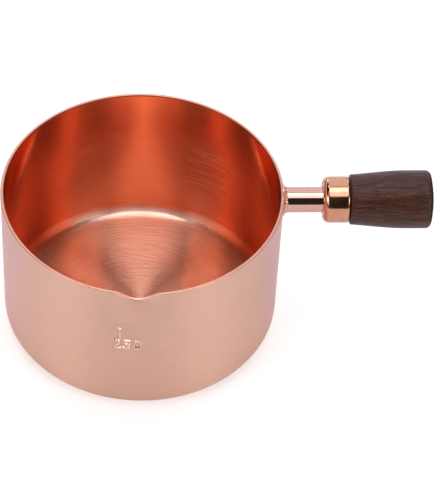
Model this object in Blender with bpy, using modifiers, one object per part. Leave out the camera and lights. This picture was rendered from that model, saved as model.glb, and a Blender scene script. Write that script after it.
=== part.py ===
"""A one-cup measuring pan: a small copper-plated saucepan with a pouring lip and a turned wooden grip.

Frame: metres, +Z up, origin at the centre of the base's underside, handle along +X, pouring lip near -Y.
"""

import math

import bmesh
import bpy
from mathutils import Vector

# Bowl: one drawn cup of sheet steel, copper plated all over
RIM_RADIUS = 0.0420
FOOT_RADIUS = 0.0416
HEIGHT = 0.0505
SHEET = 0.0010
FOOT_ROUND = 0.0056
RIM_ROUND = 0.0003

# Pouring lip pressed out of the rim, a little past square to the handle
LIP_ANGLE = math.radians(-93.1)
LIP_REACH = 0.0022
LIP_HALF_WIDTH = 0.0069
LIP_DEPTH = 0.0095
LIP_SHARPNESS = 1.4
LIP_FADE = 2.0

# Neck: a tube welded to the bowl just under its rim, with a flange on its outer end
NECK_RADIUS = 0.0038
NECK_WALL = 0.0010
NECK_REACH = 0.0116
NECK_BELOW_RIM = 0.0003
FLANGE_RADIUS = 0.0052
FLANGE_THICKNESS = 0.0010
WELD_BEAD = 0.00045
WELD_OFFSET = 0.0001

# Ferrule: a deep-drawn cap over the grip's front spigot
FERRULE_RADIUS = 0.0069
FERRULE_LENGTH = 0.0079
FERRULE_SHEET = 0.0008
FERRULE_ROUND = 0.0020

# Grip: turned walnut that swells towards a lightly domed end
GRIP_LENGTH = 0.0250
GRIP_FRONT_RADIUS = 0.0075
GRIP_FULL_RADIUS = 0.0087
GRIP_SWELL_SHAPE = 1.25
GRIP_STRAIGHT = 0.0050
GRIP_FRONT_ROUND = 0.0004
GRIP_END_ROUND = 0.0016
GRIP_END_DOME = 0.0008

# Fixing inside the handle: a stud from the nut in the neck to the insert in the wood
STUD_RADIUS = 0.0015
STUD_LENGTH = 0.0180
STUD_CHAMFER = 0.0003
NUT_LENGTH = 0.0075
INSERT_RADIUS = 0.0026
INSERT_LENGTH = 0.0100
INSERT_DEPTH = 0.0010
BORE_RELIEF = 0.0012

# Clearances between separate pieces
SEAT_GAP = 0.0003
FIT_GAP = 0.0002
WELD_GAP = 0.0002

# Facets round each turned piece
BOWL_STEPS = 144
HANDLE_STEPS = 48
CORE_STEPS = 32
ROUND_STEPS = 5
EDGE_STEPS = 2
LIP_RINGS = 4
BEAD_SIDES = 3
CUTTER_OVERRUN = 0.0050
SMOOTH_ANGLE = math.radians(32)
MERGE = 0.00001

# Places that follow from the sizes above
HANDLE_HEIGHT = HEIGHT - NECK_BELOW_RIM - NECK_RADIUS
FERRULE_START = RIM_RADIUS + NECK_REACH
NECK_BORE = NECK_RADIUS - NECK_WALL
FERRULE_END = FERRULE_START + FERRULE_LENGTH
FLANGE_START = FERRULE_START + FERRULE_SHEET + SEAT_GAP
NECK_END = FLANGE_START + FLANGE_THICKNESS
SPIGOT_START = NECK_END + SEAT_GAP
SPIGOT_RADIUS = FERRULE_RADIUS - FERRULE_SHEET - FIT_GAP
GRIP_SHOULDER = FERRULE_END + SEAT_GAP
GRIP_END = GRIP_SHOULDER + GRIP_LENGTH
NUT_RADIUS = NECK_BORE - FIT_GAP
THREAD_BORE = STUD_RADIUS + FIT_GAP
NUT_START = NECK_END - NUT_LENGTH
INSERT_START = SPIGOT_START + INSERT_DEPTH
INSERT_END = INSERT_START + INSERT_LENGTH
STUD_END = INSERT_END - STUD_CHAMFER
STUD_START = STUD_END - STUD_LENGTH

COPPER_SATIN = ("copper_satin", (0.93, 0.56, 0.44), 0.28, 1.0)
COPPER_POLISHED = ("copper_polished", (0.94, 0.60, 0.48), 0.08, 1.0)
WALNUT = ("walnut", (0.070, 0.030, 0.020), 0.45, 0.0)
STEEL = ("zinc_steel", (0.62, 0.62, 0.64), 0.35, 1.0)
BRASS = ("brass", (0.80, 0.60, 0.28), 0.35, 1.0)


def clear_scene():
    for obj in list(bpy.data.objects):
        bpy.data.objects.remove(obj)


def new_collection(name):
    collection = bpy.data.collections.new(name)
    bpy.context.scene.collection.children.link(collection)
    return collection


def finish(name, colour, roughness, metallic):
    """A Principled material, made once for each name."""
    material = bpy.data.materials.get(name) or bpy.data.materials.new(name)
    material.use_nodes = True
    shader = material.node_tree.nodes["Principled BSDF"]
    shader.inputs["Base Color"].default_value = (*colour, 1.0)
    shader.inputs["Roughness"].default_value = roughness
    shader.inputs["Metallic"].default_value = metallic
    return material


def arc(centre_r, centre_z, radius, start, end, steps=ROUND_STEPS):
    """Profile points on a round, from one angle to another, in degrees from the +r direction."""
    points = []
    for step in range(steps + 1):
        angle = math.radians(start + (end - start) * step / steps)
        points.append((centre_r + radius * math.cos(angle), centre_z + radius * math.sin(angle)))
    return points


def turned(name, profile, steps, material, collection, parent=None, ring=False):
    """A turned piece: the (radius, height) profile, swept about the local Z axis.

    The profile runs down the outer side. A ring profile is a closed loop clear of the axis.
    """
    mesh = bpy.data.meshes.new(name)
    edges = [(i, i + 1) for i in range(len(profile) - 1)]
    if ring:
        edges.append((len(profile) - 1, 0))
    mesh.from_pydata([(r, 0, z) for r, z in profile], edges, [])
    obj = bpy.data.objects.new(name, mesh)
    collection.objects.link(obj)
    obj.parent = parent
    screw = obj.modifiers.new("turn", "SCREW")
    screw.axis = "Z"
    screw.angle = math.tau
    screw.steps = screw.render_steps = steps
    screw.use_merge_vertices = True
    screw.merge_threshold = MERGE
    obj.data.materials.append(material)
    return obj


def as_mesh(obj):
    """The same object with its modifiers or curve made into one welded mesh."""
    bpy.context.view_layer.update()
    graph = bpy.context.evaluated_depsgraph_get()
    mesh = bpy.data.meshes.new_from_object(obj.evaluated_get(graph))
    welded = bmesh.new()
    welded.from_mesh(mesh)
    bmesh.ops.remove_doubles(welded, verts=welded.verts, dist=MERGE)
    welded.to_mesh(mesh)
    welded.free()
    name, place, parent = obj.name, obj.matrix_world.copy(), obj.parent
    collection = obj.users_collection[0]
    bpy.data.objects.remove(obj)
    made = bpy.data.objects.new(name, mesh)
    collection.objects.link(made)
    made.parent = parent
    made.matrix_world = place
    return made


def shade_round(obj):
    obj.data.shade_smooth()
    obj.data.set_sharp_from_angle(angle=SMOOTH_ANGLE)


def cut_away(obj, cutter):
    """Takes the cutter's volume out of obj."""
    boolean = obj.modifiers.new("cut", "BOOLEAN")
    boolean.operation = "DIFFERENCE"
    boolean.solver = "EXACT"
    boolean.object = cutter


def as_guide(obj):
    obj.hide_render = True
    obj.display_type = "WIRE"
    return obj


def wall_radius(height, inset=0.0):
    """Radius of the bowl's wall at a height, on its outer side or set in from it."""
    share = (height - FOOT_ROUND) / (HEIGHT - FOOT_ROUND)
    return FOOT_RADIUS + (RIM_RADIUS - FOOT_RADIUS) * share - inset


def lip_heights():
    """Rings of points down the wall, from the rim's round to the bottom of the pouring lip."""
    top, bottom = HEIGHT - RIM_ROUND, HEIGHT - LIP_DEPTH
    return [top + (bottom - top) * ring / LIP_RINGS for ring in range(1, LIP_RINGS + 1)]


def bowl_outside(gap=0.0):
    """Outer profile from the rim down to the base's centre, grown by a gap."""
    foot = arc(FOOT_RADIUS - FOOT_ROUND, FOOT_ROUND, FOOT_ROUND + gap, 0, -90)
    return [(wall_radius(z) + gap, z) for z in lip_heights()] + foot + [(0, -gap)]


def lip_share(turn, height):
    """How much of the lip's full reach a point of the wall takes: all of it at the rim's middle."""
    across = abs(turn) * RIM_RADIUS / LIP_HALF_WIDTH
    up = (height - (HEIGHT - LIP_DEPTH)) / LIP_DEPTH
    if across >= 1 or up <= 0:
        return 0.0
    return math.cos(across * math.pi / 2) ** LIP_SHARPNESS * up**LIP_FADE


def make_bowl(collection, material):
    """The drawn cup: inner side up, over the rounded rim, and down the outer side."""
    inner_round = FOOT_ROUND - SHEET
    inside = arc(FOOT_RADIUS - FOOT_ROUND, FOOT_ROUND, inner_round, -90, 0)
    inside += [(wall_radius(z, SHEET), z) for z in reversed(lip_heights())]
    rim_centre = HEIGHT - RIM_ROUND
    rim = arc(RIM_RADIUS - SHEET + RIM_ROUND, rim_centre, RIM_ROUND, 180, 90, EDGE_STEPS)
    rim += arc(RIM_RADIUS - RIM_ROUND, rim_centre, RIM_ROUND, 90, 0, EDGE_STEPS)
    profile = [(0, SHEET)] + inside + rim + bowl_outside()
    bowl = as_mesh(turned("bowl", profile, BOWL_STEPS, material, collection))
    for vertex in bowl.data.vertices:
        outwards = Vector((vertex.co.x, vertex.co.y, 0)).normalized()
        share = lip_share(math.atan2(vertex.co.y, vertex.co.x), vertex.co.z)
        vertex.co += outwards * LIP_REACH * share
    bowl.rotation_euler = (0, 0, LIP_ANGLE)
    shade_round(bowl)


def bowl_cutter(collection):
    """The bowl's filled outline plus the weld gap, to cope what meets the wall."""
    top = HEIGHT + CUTTER_OVERRUN
    above = [(0, top), (RIM_RADIUS + WELD_GAP, top), (RIM_RADIUS + WELD_GAP, HEIGHT)]
    profile = above + bowl_outside(WELD_GAP)
    return as_guide(turned("bowl_outline", profile, BOWL_STEPS, None, collection))


def make_neck(collection, guides, material, axis, bowl_shape):
    """Tube with a turned flange; its inner end is coped to the round wall."""
    buried = wall_radius(HANDLE_HEIGHT) - NECK_RADIUS
    profile = [
        (NECK_BORE, NECK_END),
        (FLANGE_RADIUS, NECK_END),
        (FLANGE_RADIUS, FLANGE_START),
        (NECK_RADIUS, FLANGE_START),
        (NECK_RADIUS, buried),
        (NECK_BORE, buried),
    ]
    neck = turned("handle_neck", profile, HANDLE_STEPS, material, collection, axis, ring=True)
    neck = as_mesh(neck)
    shade_round(neck)
    cut_away(neck, bowl_shape)
    outline = [(0, NECK_END), (NECK_RADIUS + WELD_GAP, NECK_END)]
    outline += [(NECK_RADIUS + WELD_GAP, 0), (0, 0)]
    return as_guide(turned("neck_outline", outline, HANDLE_STEPS, None, guides, axis))


def make_weld(collection, material, bowl_shape, neck_shape):
    """Fillet bead round the neck, on the saddle line where the tube meets the wall."""
    curve = bpy.data.curves.new("neck_weld", "CURVE")
    curve.dimensions = "3D"
    curve.bevel_depth = WELD_BEAD
    curve.bevel_resolution = BEAD_SIDES
    line = curve.splines.new("POLY")
    line.points.add(HANDLE_STEPS - 1)
    line.use_cyclic_u = True
    radius = NECK_RADIUS + WELD_OFFSET
    for step, point in enumerate(line.points):
        turn = math.tau * step / HANDLE_STEPS
        side = radius * math.cos(turn)
        height = HANDLE_HEIGHT + radius * math.sin(turn)
        wall = wall_radius(height) + WELD_OFFSET
        point.co = (math.sqrt(wall**2 - side**2), side, height, 1)
    weld = bpy.data.objects.new("neck_weld", curve)
    collection.objects.link(weld)
    weld = as_mesh(weld)
    weld.data.materials.append(material)
    shade_round(weld)
    cut_away(weld, bowl_shape)
    cut_away(weld, neck_shape)


def make_ferrule(collection, material, axis):
    """Cap with a rounded front shoulder and a hole that the neck passes through."""
    inner = FERRULE_RADIUS - FERRULE_SHEET
    hole = NECK_RADIUS + FIT_GAP
    inner_round = FERRULE_ROUND - FERRULE_SHEET
    centre = (FERRULE_RADIUS - FERRULE_ROUND, FERRULE_START + FERRULE_ROUND)
    profile = [(inner, FERRULE_END), (FERRULE_RADIUS, FERRULE_END)]
    profile += arc(*centre, FERRULE_ROUND, 0, -90)
    profile += [(hole, FERRULE_START), (hole, FERRULE_START + FERRULE_SHEET)]
    profile += arc(*centre, inner_round, -90, 0)
    shade_round(as_mesh(turned("ferrule", profile, HANDLE_STEPS, material, collection, axis, True)))


def swell(share):
    """Grip radius along the swelling part, easing into the full radius."""
    rise = math.sin(share * math.pi / 2) ** GRIP_SWELL_SHAPE
    return GRIP_FRONT_RADIUS + (GRIP_FULL_RADIUS - GRIP_FRONT_RADIUS) * rise


def make_grip(collection, material, axis):
    """Turned wood: domed end, swelling body, front spigot and the insert's blind bore."""
    edge = GRIP_END - GRIP_END_DOME - GRIP_END_ROUND
    full = edge - GRIP_STRAIGHT
    dome_edge = GRIP_FULL_RADIUS - GRIP_END_ROUND
    profile = []
    for step in range(ROUND_STEPS):
        share = step / ROUND_STEPS
        profile.append((dome_edge * share, GRIP_END - GRIP_END_DOME * share**2))
    profile += arc(dome_edge, edge, GRIP_END_ROUND, 90, 0)
    front = GRIP_SHOULDER + GRIP_FRONT_ROUND
    for step in range(ROUND_STEPS):
        share = 1 - step / ROUND_STEPS
        profile.append((swell(share), front + (full - front) * share))
    profile += arc(GRIP_FRONT_RADIUS - GRIP_FRONT_ROUND, front, GRIP_FRONT_ROUND, 0, -90, EDGE_STEPS)
    bore = INSERT_RADIUS + FIT_GAP
    profile += [
        (SPIGOT_RADIUS, GRIP_SHOULDER),
        (SPIGOT_RADIUS, SPIGOT_START),
        (bore, SPIGOT_START),
        (bore, INSERT_END + BORE_RELIEF),
        (0, INSERT_END + BORE_RELIEF),
    ]
    shade_round(as_mesh(turned("wood_grip", profile, HANDLE_STEPS, material, collection, axis)))


def make_sleeve(name, radius, bore, start, end, material, collection, axis):
    """A plain threaded sleeve, its thread drawn as a smooth bore."""
    profile = [(bore, end), (radius, end), (radius, start), (bore, start)]
    shade_round(as_mesh(turned(name, profile, CORE_STEPS, material, collection, axis, True)))


def make_stud(collection, material, axis):
    """Threaded rod with chamfered ends, its thread drawn as a smooth cylinder."""
    tip = STUD_RADIUS - STUD_CHAMFER
    profile = [
        (0, STUD_END),
        (tip, STUD_END),
        (STUD_RADIUS, STUD_END - STUD_CHAMFER),
        (STUD_RADIUS, STUD_START + STUD_CHAMFER),
        (tip, STUD_START),
        (0, STUD_START),
    ]
    shade_round(as_mesh(turned("clamp_stud", profile, CORE_STEPS, material, collection, axis)))


def main():
    clear_scene()
    parts = new_collection("measuring_pan")
    guides = new_collection("cutters")
    satin = finish(*COPPER_SATIN)
    polished = finish(*COPPER_POLISHED)
    brass = finish(*BRASS)

    axis = bpy.data.objects.new("handle_axis", None)
    parts.objects.link(axis)
    axis.location = (0, 0, HANDLE_HEIGHT)
    axis.rotation_euler = (0, math.pi / 2, 0)
    bpy.context.view_layer.update()

    make_bowl(parts, satin)
    bowl_shape = bowl_cutter(guides)
    neck_shape = make_neck(parts, guides, polished, axis, bowl_shape)
    make_weld(parts, polished, bowl_shape, neck_shape)
    make_ferrule(parts, polished, axis)
    make_grip(parts, finish(*WALNUT), axis)
    make_sleeve("neck_nut", NUT_RADIUS, THREAD_BORE, NUT_START, NECK_END, brass, parts, axis)
    make_sleeve("grip_insert", INSERT_RADIUS, THREAD_BORE, INSERT_START, INSERT_END, brass, parts, axis)
    make_stud(parts, finish(*STEEL), axis)


main()
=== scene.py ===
import math
from collections import namedtuple

import bmesh
import bpy
from mathutils import Matrix, Vector


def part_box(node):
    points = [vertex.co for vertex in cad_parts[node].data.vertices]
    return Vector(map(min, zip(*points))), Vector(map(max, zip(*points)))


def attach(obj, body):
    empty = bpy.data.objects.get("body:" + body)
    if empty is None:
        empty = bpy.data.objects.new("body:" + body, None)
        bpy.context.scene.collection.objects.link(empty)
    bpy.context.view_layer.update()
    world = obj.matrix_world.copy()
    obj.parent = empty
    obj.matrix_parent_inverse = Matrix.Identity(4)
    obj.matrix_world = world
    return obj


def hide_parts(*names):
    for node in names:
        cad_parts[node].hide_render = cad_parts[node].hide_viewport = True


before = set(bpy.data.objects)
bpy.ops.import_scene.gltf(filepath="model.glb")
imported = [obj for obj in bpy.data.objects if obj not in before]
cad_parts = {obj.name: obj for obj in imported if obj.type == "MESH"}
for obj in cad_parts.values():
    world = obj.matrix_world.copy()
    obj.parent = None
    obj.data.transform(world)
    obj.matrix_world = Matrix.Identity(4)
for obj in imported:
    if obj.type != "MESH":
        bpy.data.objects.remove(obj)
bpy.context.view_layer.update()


# The bowl is one cup drawn from steel sheet and copper plated all over. Its foot is rounded by the
# draw, a pouring lip is pressed out of the rim, and every face is brushed on a turntable, which
# leaves fine rings on the base and fine lines round the wall.

bowl_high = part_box("bowl")[1]
RIM_RADIUS = bowl_high[0]
FOOT_RADIUS = RIM_RADIUS - 0.0004
RIM_HEIGHT = bowl_high[2]
SHEET = 0.0010
FOOT_ROUND = 0.0056
CORNER_START = RIM_RADIUS - FOOT_ROUND
RIM_ROUND = 0.0003
INNER_EDGE = RIM_RADIUS - SHEET
LIP_ANGLE = math.radians(-93.1)
LIP_REACH = 0.0022
LIP_HALF_WIDTH = 0.0074
LIP_DEPTH = 0.0095
LIP_SHARPNESS = 1.9
BOWL_SIDES = 288
BASE_RINGS = 6
WALL_RINGS = 4
LIP_RINGS = 12
FOOT_SEGMENTS = 12
RIM_SEGMENTS = 3
SHARP_EDGE = math.radians(30)
RIM_EDGE = math.radians(60)
INSIDE, RIM = 1, 2

Brushing = namedtuple("Brushing", "colour dull lines rings")
# One copper plating, given three colours: the inside's deeper reds are painted reflection of light
# bounced round the bowl.
OUTSIDE = Brushing((0.98, 0.59, 0.465), 0.30, 0.03, 5)
INSIDE_WALL = Brushing((0.97, 0.40, 0.232), 0.20, 0.06, 3)
INSIDE_BASE = Brushing((0.97, 0.455, 0.320), 0.40, 0.07, 26)
SWEEP_DULL = 0.02
RING_WOBBLE = 0.00012
BRUSH_DEPTH = 0.000006
# Real scuffs get a paler copper, which is painted glint.
SCUFF_AND_GLINT_COPPER = (1.0, 0.44, 0.26, 1)
SCUFF_SHARE = 0.8
SCUFF_DULL = 0.11
# Painted light in the corner round the inside base: a painted highlight at the back, painted shade at
# the sides.
CORNER_SIDE_PAINTED_SHADE = (0.97, 0.30, 0.16, 1)
CORNER_BACK_PAINTED_HIGHLIGHT = (1.0, 0.70, 0.60, 1)
CORNER_PAINT_SHARE = 0.75
CORNER_SIDE_DULL = 0.32
CORNER_BACK_DULL = 0.23
CORNER_TOP_DULL = 0.38
SMOOTHER_AT_RIM = -0.08
RIM_DEEP, RIM_LIGHT = (0.84, 0.38, 0.27, 1), (0.95, 0.49, 0.36, 1)
# A dark line painted along the inner edge of the rim: a painted dark reflection.
RIM_PAINTED_DARK_EDGE = (0.22, 0.035, 0.020, 1)
DARK_EDGE_SHARE = 0.85

# Spans over which a finish changes: out from the bowl's axis, up from the table, or by direction
# from the axis, from -1 at the front to 1 at the back, or to 1 at either side.
WALL_UP = (SHEET + 0.0008, FOOT_ROUND)
RINGS_UP = (SHEET + 0.0001, SHEET + 0.0010)
SCUFFS_START, SCUFFS_END = (0.20, 0.44), (0.56, 0.86)
SCUFFS_BACK = (0.0, 0.4)
SCUFFS_LOW, SCUFFS_HIGH = (0.006, 0.016), (0.031, 0.036)
SCUFFS_LEFT_TO_RIGHT = (-0.4, 0.4)
CORNER_OUT = (CORNER_START + 0.0002, CORNER_START + 0.0012)
CORNER_UP = (SHEET + 0.0010, SHEET + 0.0024)
CORNER_BACK = (0.82, 0.96)
CORNER_DULL_BACK = (0.70, 0.92)
CORNER_DULL_OUT = (CORNER_START + 0.0004, CORNER_START + 0.0018)
CORNER_DULL_UP = (SHEET + 0.0008, SHEET + 0.0015)
WALL_DULL_UP = (SHEET + 0.0020, FOOT_ROUND)
DARK_EDGE_OUT = (INNER_EDGE + 0.00012, INNER_EDGE + 0.00028)


def open_piece(name):
    """Names the primitive just added and opens it for editing."""
    piece = bpy.context.object
    piece.name = piece.data.name = name
    bpy.ops.object.mode_set(mode="EDIT")
    return piece


def pick_edges(test):
    """Selects only the edges, in edit mode, whose middle passes the test."""
    bpy.ops.mesh.select_mode(type="EDGE")
    bpy.ops.mesh.select_all(action="DESELECT")
    mesh = bpy.context.object.data
    for edge in bmesh.from_edit_mesh(mesh).edges:
        start, end = edge.verts
        if test((start.co + end.co) / 2):
            edge.select_set(True)
    bmesh.update_edit_mesh(mesh)


def finish_shape(piece):
    """Applies the piece's modifiers, and shades it round except over its sharp edges."""
    for modifier in list(piece.modifiers):
        bpy.ops.object.modifier_apply(modifier=modifier.name)
    bpy.ops.object.shade_smooth_by_angle(angle=SHARP_EDGE)


def distance_out(point):
    return math.hypot(point.x, point.y)


def grow_ring(factor, lift):
    """Extrudes the selected ring upwards and scales the new ring about the bowl's axis."""
    bpy.ops.mesh.extrude_edges_move(TRANSFORM_OT_translate={"value": (0, 0, lift)})
    bpy.ops.transform.resize(value=(factor, factor, 1), center_override=(0, 0, 0))


class Nodes:
    """Adds nodes to a tree. Each value is a number, a tuple or the output of another node."""

    def __init__(self, tree):
        self.tree = tree

    def add(self, kind, *values, **settings):
        """A new node with these settings, and these values for its first sockets."""
        made = self.tree.nodes.new("ShaderNode" + kind)
        for key, setting in settings.items():
            setattr(made, key, setting)
        for value, socket in zip(values, made.inputs):
            self.join(value, socket)
        return made

    def join(self, value, socket):
        if isinstance(value, (int, float, tuple)):
            socket.default_value = value
        else:
            self.tree.links.new(value, socket)

    def reckon(self, operation, *values):
        return self.add("Math", *values, operation=operation).outputs[0]

    def multiply(self, first, *others):
        for other in others:
            first = self.reckon("MULTIPLY", first, other)
        return first

    def fade(self, value, low, high, at_low=0.0, at_high=1.0):
        """Runs smoothly from at_low to at_high as the value goes from low to high."""
        values = (value, low, high, at_low, at_high)
        return self.add("MapRange", *values, interpolation_type="SMOOTHSTEP").outputs[0]

    def blend(self, share, first, second, kind="MIX"):
        """Blends two colours, by default from the first to the second as the share grows."""
        made = self.add("Mix", share, data_type="RGBA", blend_type=kind)
        self.join(first, made.inputs[6])
        self.join(second, made.inputs[7])
        return made.outputs[2]

    def noise(self, place, scale, detail):
        """Noise at a place in metres, drawn out along the axes that have a small scale."""
        drawn = self.add("VectorMath", place, scale, operation="MULTIPLY")
        made = self.add("TexNoise")
        self.join(drawn.outputs[0], made.inputs["Vector"])
        self.join(1.0, made.inputs["Scale"])
        self.join(detail, made.inputs["Detail"])
        return made.outputs["Fac"]

    def split(self, vector):
        return self.add("SeparateXYZ", vector).outputs

    def length(self, vector):
        return self.add("VectorMath", vector, operation="LENGTH").outputs["Value"]


class Finish(Nodes):
    """A material: its Principled shader, and the nodes on Object coordinates that lead to it."""

    def __init__(self, name, metallic=1.0):
        self.material = bpy.data.materials.new(name)
        self.material.use_nodes = True
        super().__init__(self.material.node_tree)
        self.shader = self.tree.nodes["Principled BSDF"]
        self.place = self.add("TexCoord").outputs["Object"]
        self.give("Metallic", metallic)

    def give(self, socket, value):
        self.join(value, self.shader.inputs[socket])

    def flat_place(self):
        """The place, moved straight down onto the table."""
        return self.add("VectorMath", self.place, (1.0, 1.0, 0.0), operation="MULTIPLY").outputs[0]

    def raise_bump(self, height, depth):
        """Turns a height from 0 to 1 into relief of the given depth in metres."""
        bump = self.add("Bump")
        self.join(1.0, bump.inputs["Strength"])
        self.join(depth, bump.inputs["Distance"])
        self.join(height, bump.inputs["Height"])
        self.give("Normal", bump.outputs[0])


# A point of the bowl: its direction from the axis, as X and Y from -1 to 1, its distance from the
# axis, its height, and a place for noise that makes rings on the base and lines round the wall.
Spot = namedtuple("Spot", "aside back out up unrolled")


def brushed_copper(name, wall, base, wear_and_painted_light=None):
    """Copper brushed round the bowl's axis.

    Wall and base each give a colour, a roughness, the strength of the brushed lines' colour, and
    the height of the brushed rings. Wear and painted light take the copper, a spot and the colour,
    and return the colour, worn and with painted light, and the roughness.
    """
    copper = Finish(name)
    copper.give("Anisotropic", 0.95)
    copper.give("Anisotropic Rotation", 0.25)
    flat = copper.flat_place()
    out = copper.length(flat)
    up = copper.split(copper.place)[2]
    outwards = copper.add("VectorMath", flat, operation="NORMALIZE").outputs[0]
    aside, back = copper.split(outwards)[:2]
    copper.give("Tangent", copper.add("CombineXYZ", copper.multiply(back, -1.0), aside).outputs[0])

    wobble = copper.multiply(copper.noise(copper.place, (160, 160, 160), 2), RING_WOBBLE)
    across = copper.reckon("ADD", copper.reckon("ADD", out, up), wobble)
    unrolled = copper.add("CombineXYZ", aside, back, across).outputs[0]
    hairlines = copper.noise(unrolled, (2, 2, 3500), 3)
    rings = copper.noise(unrolled, (4, 4, 1600), 2)
    sweeps = copper.noise(unrolled, (3, 3, 260), 2)

    up_wall = copper.fade(up, *WALL_UP)
    colour = copper.blend(up_wall, (*base.colour, 1), (*wall.colour, 1))
    lines = copper.reckon("ADD", copper.fade(rings, 0.30, 0.70, -0.5, 0.5), hairlines)
    strength = copper.fade(up_wall, 0.0, 1.0, base.lines, wall.lines)
    lines = copper.multiply(copper.reckon("SUBTRACT", lines, 0.5), strength)
    lines = copper.reckon("ADD", lines, 1.0)
    shade = copper.add("CombineColor", lines, lines, lines).outputs[0]
    colour = copper.blend(1.0, colour, shade, "MULTIPLY")
    dull = wall.dull
    if wear_and_painted_light:
        colour, dull = wear_and_painted_light(copper, Spot(aside, back, out, up, unrolled), colour)
    copper.give("Base Color", colour)
    swept = copper.fade(sweeps, 0.3, 0.7, -SWEEP_DULL, SWEEP_DULL)
    copper.give("Roughness", copper.reckon("ADD", dull, swept))
    ring_height = copper.fade(up, *RINGS_UP, base.rings, wall.rings)
    relief = copper.reckon("ADD", hairlines, copper.multiply(rings, ring_height))
    copper.raise_bump(relief, BRUSH_DEPTH)
    return copper.material


def wear_and_painted_light_inside(copper, spot, colour):
    """The colour and roughness of the inside: worn by use, and with painted light.

    A scouring pad left two patches of fine scuffs on the far wall, and their paler copper is painted
    glint. The corner round the base is painted pale at the back, a painted highlight, and deeper red
    at the sides, a painted shade. The wall gets smoother towards the rim.
    """
    sideways = copper.reckon("ABSOLUTE", spot.aside)
    scuffs = copper.multiply(
        copper.fade(copper.noise(spot.unrolled, (2, 2, 2900), 1), 0.47, 0.62),
        copper.fade(sideways, *SCUFFS_START),
        copper.fade(sideways, *SCUFFS_END, 1.0, 0.0),
        copper.fade(spot.back, *SCUFFS_BACK),
        copper.fade(spot.up, *SCUFFS_LOW),
        copper.fade(spot.up, *SCUFFS_HIGH, 1.0, 0.0),
        copper.fade(spot.aside, *SCUFFS_LEFT_TO_RIGHT, 0.5, 1.0),
    )
    # The scuffs are real wear; their paler copper is painted glint.
    colour = copper.blend(copper.multiply(scuffs, SCUFF_SHARE), colour, SCUFF_AND_GLINT_COPPER)
    # The corner round the base is painted: a pale painted highlight at the back, a deeper red painted
    # shade at the sides.
    painted_corner = copper.multiply(
        copper.fade(spot.out, *CORNER_OUT),
        copper.fade(spot.up, *CORNER_UP, CORNER_PAINT_SHARE, 0.0),
    )
    painted_shade_at_sides = copper.multiply(painted_corner, copper.fade(spot.back, *CORNER_BACK, 1.0, 0.0))
    painted_highlight_at_back = copper.multiply(painted_corner, copper.fade(spot.back, *CORNER_BACK))
    colour = copper.blend(painted_shade_at_sides, colour, CORNER_SIDE_PAINTED_SHADE)
    colour = copper.blend(painted_highlight_at_back, colour, CORNER_BACK_PAINTED_HIGHLIGHT)

    dull = copper.fade(spot.back, *CORNER_DULL_BACK, CORNER_SIDE_DULL, CORNER_BACK_DULL)
    dull = copper.fade(spot.out, *CORNER_DULL_OUT, INSIDE_BASE.dull, dull)
    dull = copper.fade(spot.up, *CORNER_DULL_UP, dull, CORNER_TOP_DULL)
    dull = copper.fade(spot.up, *WALL_DULL_UP, dull, INSIDE_WALL.dull)
    smoother = copper.fade(spot.up, RIM_HEIGHT / 2, RIM_HEIGHT, 0.0, SMOOTHER_AT_RIM)
    dull = copper.reckon("ADD", dull, smoother)
    return colour, copper.reckon("ADD", dull, copper.multiply(scuffs, SCUFF_DULL))


copper_outside = brushed_copper("copper brushed outside", OUTSIDE, OUTSIDE)
copper_inside = brushed_copper("copper brushed inside", INSIDE_WALL, INSIDE_BASE, wear_and_painted_light_inside)
rim_finish = Finish("copper burnished at the rim")
nicks = rim_finish.noise(rim_finish.place, (900, 900, 900), 3)
rubbed = rim_finish.blend(rim_finish.fade(nicks, 0.28, 0.45), RIM_DEEP, RIM_LIGHT)
from_axis = rim_finish.length(rim_finish.flat_place())
# A thin dark line painted along the rim's inner edge is a painted dark reflection.
painted_dark_edge = rim_finish.fade(from_axis, *DARK_EDGE_OUT, DARK_EDGE_SHARE, 0.0)
rim_finish.give("Base Color", rim_finish.blend(painted_dark_edge, rubbed, RIM_PAINTED_DARK_EDGE))
rim_finish.give("Roughness", rim_finish.fade(nicks, 0.3, 0.6, 0.44, 0.30))

bpy.ops.object.select_all(action="DESELECT")
first_ring = FOOT_RADIUS / BASE_RINGS
bpy.ops.mesh.primitive_circle_add(vertices=BOWL_SIDES, radius=first_ring, fill_type="TRIFAN")
bowl = open_piece("drawn_bowl")
for material in (copper_outside, copper_inside, rim_finish.material):
    bowl.data.materials.append(material)
pick_edges(lambda middle: distance_out(middle) > first_ring * 0.9)
for ring in range(1, BASE_RINGS):
    grow_ring((ring + 1) / ring, 0)
lip_foot = RIM_HEIGHT - LIP_DEPTH
wall_lean = (RIM_RADIUS - FOOT_RADIUS) / RIM_HEIGHT
heights = [lip_foot * step / WALL_RINGS for step in range(WALL_RINGS + 1)]
heights += [lip_foot + LIP_DEPTH * step / LIP_RINGS for step in range(1, LIP_RINGS + 1)]
for below, above in zip(heights, heights[1:]):
    grow_ring((FOOT_RADIUS + wall_lean * above) / (FOOT_RADIUS + wall_lean * below), above - below)
pick_edges(lambda middle: middle.z < 1e-6 and distance_out(middle) > FOOT_RADIUS * 0.999)
bpy.ops.mesh.bevel(offset=FOOT_ROUND, segments=FOOT_SEGMENTS)
bpy.ops.mesh.select_all(action="SELECT")
bpy.ops.mesh.normals_make_consistent(inside=False)
bpy.ops.object.mode_set(mode="OBJECT")

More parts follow.
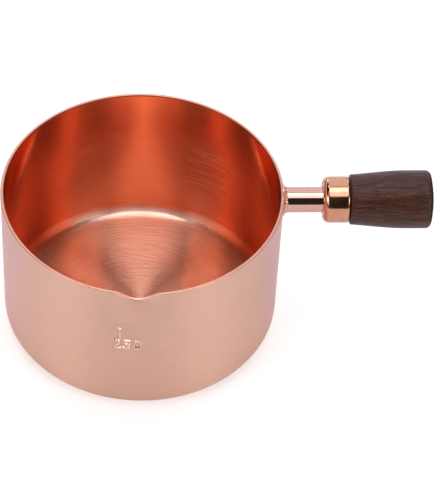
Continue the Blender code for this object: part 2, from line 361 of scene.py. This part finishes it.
lip = bowl.vertex_groups.new(name="pouring_lip")
for vertex in bowl.data.vertices:
    turn = (math.atan2(vertex.co.y, vertex.co.x) - LIP_ANGLE + math.pi) % math.tau - math.pi
    across = abs(turn) * RIM_RADIUS / LIP_HALF_WIDTH
    up = (vertex.co.z - lip_foot) / LIP_DEPTH
    if across < 1 and up > 0:
        lip.add([vertex.index], math.cos(across * math.pi / 2) ** LIP_SHARPNESS * up**2, "REPLACE")
press = bowl.modifiers.new("press", "DISPLACE")
press.vertex_group = lip.name
press.strength = LIP_REACH
press.mid_level = 0
press.direction = "NORMAL"
gauge = bowl.modifiers.new("gauge", "SOLIDIFY")
gauge.thickness = SHEET
gauge.offset = -1
gauge.use_even_offset = True
gauge.material_offset = INSIDE
gauge.material_offset_rim = RIM
edge = bowl.modifiers.new("edge", "BEVEL")
edge.width = RIM_ROUND
edge.segments = RIM_SEGMENTS
edge.limit_method = "ANGLE"
edge.angle_limit = RIM_EDGE
edge.material = RIM
finish_shape(bowl)
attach(bowl, "root")
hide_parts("bowl")


# The capacity in millilitres and in cups is struck into the wall under the lip with number punches,
# before plating, so the figures stand a hair proud of the wall and have soft edges.

FIGURE_HEIGHT = 0.0040
FIGURE_SIZE = FIGURE_HEIGHT * 1.42
FIGURE_SPACING = 1.05
FIGURE_CHAMFER = 0.00024
FIGURE_FACE = FIGURE_CHAMFER * 0.1
FIGURE_INSET = FIGURE_CHAMFER * 0.2
FIGURE_STEEPNESS = 1.6
FIGURES_LEFT = -0.0071
FIGURE_ROWS = (("1", 0.0335, 0.0008), ("250", 0.0286, 0.0))
BUFFING_DEPTH = 0.0000006
BUFFING_SMEARS = 0.03


def wall_radius(height):
    return FOOT_RADIUS + wall_lean * height


def polished_copper(name, deep, light, dull):
    """Copper plate buffed bright: faint wheel lines round the handle and soft finger smears."""
    copper = Finish(name)
    smears = copper.noise(copper.place, (420, 260, 260), 3)
    wheel_lines = copper.noise(copper.place, (6000, 700, 700), 2)
    tint = copper.blend(copper.fade(smears, 0.3, 0.7), (*deep, 1), (*light, 1))
    copper.give("Base Color", tint)
    smeared = copper.fade(smears, 0.3, 0.7, dull - BUFFING_SMEARS, dull + BUFFING_SMEARS)
    copper.give("Roughness", smeared)
    copper.raise_bump(wheel_lines, BUFFING_DEPTH)
    return copper.material


def cover(piece, material):
    """Gives the whole piece one material."""
    piece.data.materials.clear()
    piece.data.materials.append(material)


figures = []
for number, height, indent in FIGURE_ROWS:
    bpy.ops.object.select_all(action="DESELECT")
    bpy.ops.object.text_add()
    figure = bpy.context.object
    figure.data.body = number
    figure.data.align_y = "CENTER"
    figure.data.size = FIGURE_SIZE
    figure.data.space_character = FIGURE_SPACING
    figure.data.extrude = FIGURE_FACE
    figure.data.bevel_depth = FIGURE_CHAMFER
    figure.data.bevel_resolution = 0
    figure.data.offset = -FIGURE_INSET
    bpy.ops.object.convert(target="MESH")
    for vertex in figure.data.vertices:
        along, rise, proud = vertex.co
        turn = LIP_ANGLE + (FIGURES_LEFT + indent + along) / RIM_RADIUS
        out = wall_radius(height + rise) + proud * FIGURE_STEEPNESS
        vertex.co = (out * math.cos(turn), out * math.sin(turn), height + rise)
    figures.append(figure)
for figure in figures:
    figure.select_set(True)
bpy.ops.object.join()
struck = open_piece("struck_figures")
bpy.ops.mesh.select_all(action="SELECT")
bpy.ops.mesh.remove_doubles(threshold=0.0000005)
bpy.ops.mesh.normals_make_consistent(inside=False)
bpy.ops.object.mode_set(mode="OBJECT")
finish_shape(struck)
# The figures get a paler copper than the wall: a painted highlight that brightens their glints.
cover(struck, polished_copper("copper polished, figures", (0.90, 0.60, 0.49), (0.97, 0.70, 0.60), 0.17))
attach(struck, "root")


# The neck is a short steel tube, copper plated and polished bright. Its inner end is coped to the
# wall, and a turned flange on its outer end sits inside the ferrule.

neck_low, neck_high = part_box("handle_neck")
AXIS_HEIGHT = (neck_low[2] + neck_high[2]) / 2
NECK_RADIUS = 0.0038
NECK_BORE = 0.0028
FLANGE_RADIUS = (neck_high[2] - neck_low[2]) / 2
FLANGE_THICKNESS = 0.0010
NECK_START = RIM_RADIUS - NECK_RADIUS
NECK_END = neck_high[0]
COPE_CLEARANCE = 0.0001
COPE_LENGTH = 0.04
ROUND_SIDES = 128


def turn_piece(name, outline):
    """Draws an outline of (place along X, radius) points by extrusion and spins it round the handle."""
    bpy.ops.object.select_all(action="DESELECT")
    start = Vector((outline[0][0], 0, AXIS_HEIGHT + outline[0][1]))
    bpy.ops.mesh.primitive_plane_add(size=0.001, location=start)
    piece = open_piece(name)
    bpy.ops.mesh.select_mode(type="VERT")
    bpy.ops.mesh.select_all(action="SELECT")
    bpy.ops.mesh.merge(type="CENTER")
    for before, after in zip(outline, outline[1:]):
        step = (after[0] - before[0], 0, after[1] - before[1])
        bpy.ops.mesh.extrude_vertices_move(TRANSFORM_OT_translate={"value": step})
    bpy.ops.mesh.select_all(action="SELECT")
    bpy.ops.mesh.spin(steps=ROUND_SIDES, angle=math.tau, center=(0, 0, AXIS_HEIGHT), axis=(1, 0, 0))
    bpy.ops.mesh.select_all(action="SELECT")
    bpy.ops.mesh.remove_doubles(threshold=0.000001)
    bpy.ops.mesh.normals_make_consistent(inside=False)
    bpy.ops.object.mode_set(mode="OBJECT")
    bpy.ops.object.transform_apply(location=True, rotation=True, scale=True)
    return piece


def curve_round(centre, radius, start, end, steps):
    """Points of a rounded corner in the (along, radius) plane, by angle in degrees from +along."""
    points = []
    for step in range(steps + 1):
        angle = math.radians(start + (end - start) * step / steps)
        points.append((centre[0] + radius * math.cos(angle), centre[1] + radius * math.sin(angle)))
    return points


outline = [(NECK_START, NECK_BORE), (NECK_START, NECK_RADIUS)]
outline += [(NECK_END - FLANGE_THICKNESS, NECK_RADIUS), (NECK_END - FLANGE_THICKNESS, FLANGE_RADIUS)]
outline += [(NECK_END, FLANGE_RADIUS), (NECK_END, NECK_BORE), (NECK_START, NECK_BORE)]
neck = turn_piece("neck_tube", outline)
bpy.ops.mesh.primitive_cylinder_add(
    vertices=BOWL_SIDES,
    radius=RIM_RADIUS + COPE_CLEARANCE,
    depth=COPE_LENGTH,
    location=(0, 0, AXIS_HEIGHT),
)
cope = bpy.context.object
bpy.ops.object.select_all(action="DESELECT")
bpy.context.view_layer.objects.active = neck
neck.select_set(True)
cut = neck.modifiers.new("cope", "BOOLEAN")
cut.object = cope
cut.operation = "DIFFERENCE"
cut.solver = "EXACT"
finish_shape(neck)
bpy.data.objects.remove(cope)
# The neck's copper is darker than the bowl's plating: painted shade on its reflections.
cover(neck, polished_copper("copper polished, neck", (0.82, 0.46, 0.37), (0.86, 0.52, 0.43), 0.10))
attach(neck, "root")
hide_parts("handle_neck")


# The weld is a small fillet run round the neck where it meets the wall. It is dressed lightly, so it
# keeps soft ripples, and it is plated over with the rest.

WELD_FOOT = 0.0009
WELD_LENGTH = 0.0011
WELD_STEPS = 8
WELD_LAP = 0.00004
WELD_IN_WALL = 0.0004
WELD_IN_NECK = 0.0002
WELD_RIPPLES = 17
RIPPLE_ALONG = 0.00007
RIPPLE_OUT = 0.00009
WELD_DEEP, WELD_LIGHT = (0.62, 0.24, 0.15, 1), (0.94, 0.58, 0.45, 1)
WELD_RELIEF = 0.00002

weld_start = RIM_RADIUS - WELD_IN_WALL
weld_end = RIM_RADIUS + WELD_LENGTH
outline = [(weld_start, NECK_RADIUS + WELD_FOOT)]
for step in range(WELD_STEPS + 1):
    share = step / WELD_STEPS
    sag = 1 - math.sqrt(1 - (1 - share) ** 2)
    outline.append((RIM_RADIUS + WELD_LENGTH * share, NECK_RADIUS + WELD_FOOT * sag + WELD_LAP))
outline += [(weld_end, NECK_RADIUS - WELD_IN_NECK), (weld_start, NECK_RADIUS - WELD_IN_NECK)]
outline += outline[:1]
weld = turn_piece("weld_bead", outline)
for vertex in weld.data.vertices:
    rise = vertex.co.z - AXIS_HEIGHT
    out = math.hypot(vertex.co.y, rise)
    turn = math.atan2(rise, vertex.co.y)
    on_surface = out > NECK_RADIUS
    ripple = math.sin(turn * WELD_RIPPLES + 1.3 * math.sin(3 * turn)) + 0.5 * math.sin(5 * turn + 1)
    swell = max(0, min(1, (weld_end - vertex.co.x) / WELD_LENGTH)) * on_surface
    vertex.co.x += RIPPLE_ALONG * ripple * on_surface
    vertex.co.y *= 1 + RIPPLE_OUT * ripple * swell / out
    vertex.co.z = AXIS_HEIGHT + rise * (1 + RIPPLE_OUT * ripple * swell / out)
finish_shape(weld)

weld_finish = Finish("copper plate over the weld")
grain = weld_finish.noise(weld_finish.place, (1500, 1500, 1500), 3)
tint = weld_finish.blend(weld_finish.fade(grain, 0.35, 0.6), WELD_DEEP, WELD_LIGHT)
weld_finish.give("Base Color", tint)
weld_finish.give("Roughness", weld_finish.fade(grain, 0.35, 0.65, 0.42, 0.20))
weld_finish.raise_bump(grain, WELD_RELIEF)
cover(weld, weld_finish.material)
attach(weld, "root")
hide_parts("neck_weld")


# The ferrule is a small cap drawn from sheet, copper plated and polished. It has a rounded front
# shoulder with a hole for the neck, and its plain back end butts against the wood.

ferrule_low, ferrule_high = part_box("ferrule")
FERRULE_RADIUS = (ferrule_high[2] - ferrule_low[2]) / 2
FERRULE_START = ferrule_low[0]
FERRULE_END = ferrule_high[0]
FERRULE_SHEET = 0.0008
FERRULE_BORE = FERRULE_RADIUS - FERRULE_SHEET
FERRULE_HOLE = NECK_RADIUS + 0.0002
SHOULDER = 0.0020
END_ROUND = 0.0006
BESIDE_ROUND = 0.0002

centre = (FERRULE_START + SHOULDER, FERRULE_RADIUS - SHOULDER)
outline = [(FERRULE_START + FERRULE_SHEET, FERRULE_HOLE), (FERRULE_START, FERRULE_HOLE)]
outline += curve_round(centre, SHOULDER, 180, 90, 12)
outline.append((centre[0] + BESIDE_ROUND, FERRULE_RADIUS))
outline.append((FERRULE_END - END_ROUND - BESIDE_ROUND, FERRULE_RADIUS))
outline += curve_round((FERRULE_END - END_ROUND, FERRULE_RADIUS - END_ROUND), END_ROUND, 90, 0, 4)
outline.append((FERRULE_END, FERRULE_BORE))
outline += curve_round(centre, SHOULDER - FERRULE_SHEET, 90, 180, 8)
outline += outline[:1]
ferrule = turn_piece("ferrule_cap", outline)
finish_shape(ferrule)
# The ferrule's copper is darker and redder than the bowl's plating: painted shade on its reflections.
cover(ferrule, polished_copper("copper polished, ferrule", (0.76, 0.35, 0.22), (0.82, 0.42, 0.28), 0.14))
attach(ferrule, "root")
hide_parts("ferrule")


# The grip is dark walnut turned on a lathe. It swells from the ferrule to a lightly domed end, and
# its grain runs along the handle.

grip_low, grip_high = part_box("wood_grip")
GRIP_START = FERRULE_END + 0.0003
GRIP_END = grip_high[0]
GRIP_FULL = (grip_high[2] - grip_low[2]) / 2
GRIP_FRONT = 0.0075
GRIP_SPIGOT = FERRULE_BORE - 0.0002
SPIGOT_START = grip_low[0]
EDGE_ROUND = 0.0004
GRIP_END_ROUND = 0.0016
GRIP_DOME = 0.0008
DOME_STEPS = 8
GRIP_STRAIGHT = 0.0050
SWELL_SHAPE = 1.25
SWELL_STEPS = 16
WALNUT_DEEP, WALNUT_LIGHT = (0.062, 0.018, 0.0085, 1), (0.128, 0.043, 0.027, 1)
WALNUT_STREAK = (0.22, 0.115, 0.095, 1)
WALNUT_FIBRE = (0.022, 0.006, 0.0035, 1)
WALNUT_PORE = (0.012, 0.005, 0.003, 1)
WALNUT_END = (0.012, 0.005, 0.004, 1)
WALNUT_RELIEF = 0.00007
END_GRAIN = (GRIP_END - 0.0022, GRIP_END - 0.0011)
END_GRAIN_SHARE = 0.85

edge_along = GRIP_END - GRIP_DOME - GRIP_END_ROUND
full_along = edge_along - GRIP_STRAIGHT
front_along = GRIP_START + EDGE_ROUND
outline = [(SPIGOT_START, 0), (SPIGOT_START, GRIP_SPIGOT), (GRIP_START, GRIP_SPIGOT)]
outline += curve_round((front_along, GRIP_FRONT - EDGE_ROUND), EDGE_ROUND, 180, 90, 4)
for step in range(1, SWELL_STEPS + 1):
    share = step / SWELL_STEPS
    swell = GRIP_FRONT + (GRIP_FULL - GRIP_FRONT) * math.sin(share * math.pi / 2) ** SWELL_SHAPE
    outline.append((front_along + (full_along - front_along) * share, swell))
outline += curve_round((edge_along, GRIP_FULL - GRIP_END_ROUND), GRIP_END_ROUND, 90, 0, 8)
for step in range(DOME_STEPS - 1, 0, -1):
    share = step / DOME_STEPS
    outline.append((GRIP_END - GRIP_DOME * share**2, (GRIP_FULL - GRIP_END_ROUND) * share))
outline.append((GRIP_END, 0))
grip = turn_piece("turned_grip", outline)
finish_shape(grip)

walnut = Finish("dark walnut, oiled", metallic=0.0)
drift = walnut.noise(walnut.place, (70, 240, 240), 2)
swing = walnut.reckon("ADD", 1.0, walnut.multiply(drift, 0.05))
bent = walnut.add("VectorMath", walnut.place, operation="SCALE")
walnut.join(swing, bent.inputs["Scale"])
figure_lines = walnut.noise(bent.outputs[0], (45, 1300, 1300), 4)
fibres = walnut.noise(bent.outputs[0], (330, 4200, 4200), 2)
pores = walnut.noise(bent.outputs[0], (420, 3100, 3100), 1)
streaks = walnut.noise(bent.outputs[0], (110, 1500, 1500), 2)
open_pore = walnut.fade(pores, 0.30, 0.38, 1.0, 0.0)
end_grain = walnut.fade(walnut.split(walnut.place)[0], *END_GRAIN, 0.0, END_GRAIN_SHARE)
brown = walnut.blend(walnut.fade(figure_lines, 0.30, 0.70), WALNUT_DEEP, WALNUT_LIGHT)
brown = walnut.blend(walnut.fade(streaks, 0.52, 0.66, 0.0, 0.40), brown, WALNUT_STREAK)
brown = walnut.blend(walnut.fade(fibres, 0.35, 0.65, 0.30, 0.0), brown, WALNUT_FIBRE)
brown = walnut.blend(walnut.multiply(open_pore, 0.75), brown, WALNUT_PORE)
brown = walnut.blend(end_grain, brown, WALNUT_END)
walnut.give("Base Color", brown)
walnut.give("Specular IOR Level", 0.31)
sheen = walnut.fade(figure_lines, 0.3, 0.7, 0.38, 0.30)
walnut.give("Roughness", walnut.reckon("MAXIMUM", sheen, end_grain))
relief = walnut.reckon("SUBTRACT", walnut.multiply(fibres, 1.2), open_pore)
walnut.raise_bump(relief, WALNUT_RELIEF)
cover(grip, walnut.material)
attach(grip, "root")
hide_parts("wood_grip")


# The nut inside the neck, the insert in the wood and the stud between them pull the handle
# together. All three are turned from bar: the nut and insert in brass, the stud in plated steel.

TOOL_RING_DULL = 0.06
TOOL_RING_DEPTH = 0.000008


def turned_bar(name, bright, tarnished, dull):
    """Bare turned metal: fine tool rings round the handle's axis and patches of tarnish."""
    metal = Finish(name)
    tool_rings = metal.noise(metal.place, (4500, 40, 40), 2)
    tarnish = metal.noise(metal.place, (300, 300, 300), 3)
    metal.give("Base Color", metal.blend(metal.fade(tarnish, 0.35, 0.70), (*bright, 1), (*tarnished, 1)))
    ringed = metal.fade(tool_rings, 0.3, 0.7, dull - TOOL_RING_DULL, dull + TOOL_RING_DULL)
    metal.give("Roughness", ringed)
    metal.raise_bump(tool_rings, TOOL_RING_DEPTH)
    return metal.material


brass = turned_bar("turned brass", (0.82, 0.62, 0.30), (0.60, 0.42, 0.19), 0.28)
zinc = turned_bar("zinc plated steel", (0.66, 0.67, 0.70), (0.48, 0.48, 0.49), 0.34)
for name, metal in (("neck_nut", brass), ("grip_insert", brass), ("clamp_stud", zinc)):
    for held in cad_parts[name].material_slots:
        held.material = metal


# The studio is a wide pale table under one large softbox. Pale panels stand round it, and the one
# behind the bowl is a window. A strip of the table beside the bowl glows bluish for glossy rays only,
# a painted reflection of the window's daylight. The metal shows all of this, while the camera sees
# the table and the walls as white.

TABLE_SIZE = 3.0
TABLE_WHITE = (0.88, 0.88, 0.88, 1)
TABLE_SEEN, TABLE_REFLECTED = 0.50, 0.120
PLAIN_LIGHT, DAYLIGHT_GLOW = (1.0, 1.0, 1.0, 1), (1.0, 1.0, 2.0, 1)
DAYLIGHT_GLOW_STARTS, DAYLIGHT_GLOW_ENDS = (-0.025, 0.010), (0.035, 0.070)
WALL_PALE, WINDOW_PALE = (0.8, 0.8, 0.8, 1), (0.79, 0.80, 0.90, 1)
WALL_SEEN = 1.25
CAMERA_TURN = math.radians(-4.51)
SOFTBOX_LEANS = (-14.4, 27)
SOFTBOX_HALF_WIDTH = 12.5
SOFTBOX_REAR, SOFTBOX_FRONT = 3.50, 2.00
SOFTBOX_CHANGE = (math.radians(1.1), math.radians(9.5))
STRIP_LEVEL = 0.90
STRIP_LEANS = (-31, -12.4)
STRIP_HALF_WIDTH = 13.5
PANELS = (
    (3.15, (41.6, 65.6), 7, (21.5, 40.0), 5),
    (1.25, (30.1, 161.2), 8, (13.0, 24.0), 5),
    (0.60, (45.8, 82.0), 8, (53.2, 74.5), 4),
    (3.90, (130.0, 143.0), 5, (54.0, 59.4), 4),
)
WINDOW_LEVEL = 1.06
WINDOW = ((157.6, 200), 8, (-12, 55.6), 5)
ROOM = 0.03

bpy.ops.object.select_all(action="DESELECT")
bpy.ops.mesh.primitive_plane_add(size=TABLE_SIZE, location=(0, 0, 0))
table = bpy.context.object
table.name = table.data.name = "table"
table_top = Finish("pale table", metallic=0.0)
table_top.give("Base Color", TABLE_WHITE)
table_top.give("Roughness", 0.9)
table_top.give("Specular IOR Level", 0.0)
ray = table_top.add("LightPath").outputs
backwards = table_top.split(table_top.place)[1]
# The bluish strip glows for glossy rays only: a painted reflection of daylight.
daylight_glow_strip = table_top.multiply(
    table_top.fade(backwards, *DAYLIGHT_GLOW_STARTS),
    table_top.fade(backwards, *DAYLIGHT_GLOW_ENDS, 1.0, 0.0),
    ray["Is Glossy Ray"],
)
seen = table_top.multiply(ray["Is Camera Ray"], TABLE_SEEN)
reflected = table_top.multiply(ray["Is Glossy Ray"], TABLE_REFLECTED)
strength = table_top.reckon("ADD", seen, reflected)
glow = table_top.add("Emission", table_top.blend(daylight_glow_strip, PLAIN_LIGHT, DAYLIGHT_GLOW), strength)
both = table_top.add("AddShader", table_top.shader.outputs[0], glow.outputs[0])
table_top.join(both.outputs[0], table_top.tree.nodes["Material Output"].inputs["Surface"])
table.data.materials.append(table_top.material)

world = bpy.data.worlds.new("studio")
bpy.context.scene.world = world
world.use_nodes = True
world.node_tree.nodes.clear()
sky = Nodes(world.node_tree)
facing = sky.add("VectorRotate", sky.add("TexCoord").outputs["Generated"], rotation_type="Z_AXIS")
sky.join(-CAMERA_TURN, facing.inputs["Angle"])
to_right, from_camera, upwards = sky.split(facing.outputs[0])
to_camera = sky.multiply(from_camera, -1.0)
round_from_camera = sky.reckon("ABSOLUTE", sky.reckon("ARCTAN2", to_right, to_camera))
above_table = sky.reckon("ARCSINE", upwards)
lean_to_camera = sky.reckon("ARCTAN2", to_camera, upwards)
lean_aside = sky.reckon("ABSOLUTE", sky.reckon("ARCTAN2", to_right, upwards))


def below(angle, high, edge):
    """1 while the angle is below a value in degrees, with a soft edge above it."""
    return sky.fade(angle, math.radians(high), math.radians(high + edge), 1.0, 0.0)


def between(angle, low, high, edge):
    """1 while the angle is between two values in degrees, with soft edges outside them."""
    above = sky.fade(angle, math.radians(low - edge), math.radians(low))
    return sky.multiply(above, below(angle, high, edge))


def panel(turns, turn_edge, climbs, climb_edge):
    """A panel that stands between two turns away from the camera and two heights, in degrees."""
    across = between(round_from_camera, *turns, turn_edge)
    return sky.multiply(across, between(above_table, *climbs, climb_edge))


softbox = sky.multiply(
    between(lean_to_camera, *SOFTBOX_LEANS, 4),
    below(lean_aside, SOFTBOX_HALF_WIDTH, 3),
    sky.fade(lean_to_camera, *SOFTBOX_CHANGE, SOFTBOX_REAR, SOFTBOX_FRONT),
)
strip = sky.multiply(
    between(lean_to_camera, *STRIP_LEANS, 4), below(lean_aside, STRIP_HALF_WIDTH, 4), STRIP_LEVEL
)
light = sky.reckon("MAXIMUM", sky.reckon("ADD", ROOM, softbox), strip)
for level, *place in PANELS:
    light = sky.reckon("ADD", light, sky.multiply(panel(*place), level))
window = panel(*WINDOW)
light = sky.reckon("ADD", light, sky.multiply(window, WINDOW_LEVEL))
for_camera = sky.add("LightPath").outputs["Is Camera Ray"]
light = sky.reckon("MAXIMUM", light, sky.multiply(for_camera, WALL_SEEN))
cooled = sky.reckon("SUBTRACT", window, for_camera)
background = sky.add("Background", sky.blend(cooled, WALL_PALE, WINDOW_PALE), light)
sky.add("OutputWorld", background.outputs[0])


# The camera stands where the photograph was taken from, looking down at the bowl with a long lens.

VIEW_DOWN = math.radians(46.45)
VIEW_ROLL = math.radians(3.02)
VIEW_DISTANCE = 0.76945
VIEW_ACROSS = 0.02304
VIEW_UP = -0.01569
LENS = 189.1

rim_middle = Vector((0, 0, RIM_HEIGHT))
across = Vector((1, 0, 0))
forward = Vector((0, math.cos(VIEW_DOWN), -math.sin(VIEW_DOWN)))
upward = Vector((0, math.sin(VIEW_DOWN), math.cos(VIEW_DOWN)))
stand = across * VIEW_ACROSS + upward * VIEW_UP - forward * VIEW_DISTANCE
right = across * math.cos(VIEW_ROLL) + upward * math.sin(VIEW_ROLL)
top = upward * math.cos(VIEW_ROLL) - across * math.sin(VIEW_ROLL)
pose = Matrix((right, top, -forward)).transposed().to_4x4()
pose.translation = stand
lens = bpy.data.cameras.new("photo_view")
lens.lens = LENS
lens.clip_start = 0.01
camera = bpy.data.objects.new("photo_view", lens)
bpy.context.collection.objects.link(camera)
camera.matrix_world = Matrix.Translation(rim_middle) @ Matrix.Rotation(CAMERA_TURN, 4, "Z") @ pose
bpy.context.scene.camera = camera
bpy.context.scene.view_settings.view_transform = "Standard"
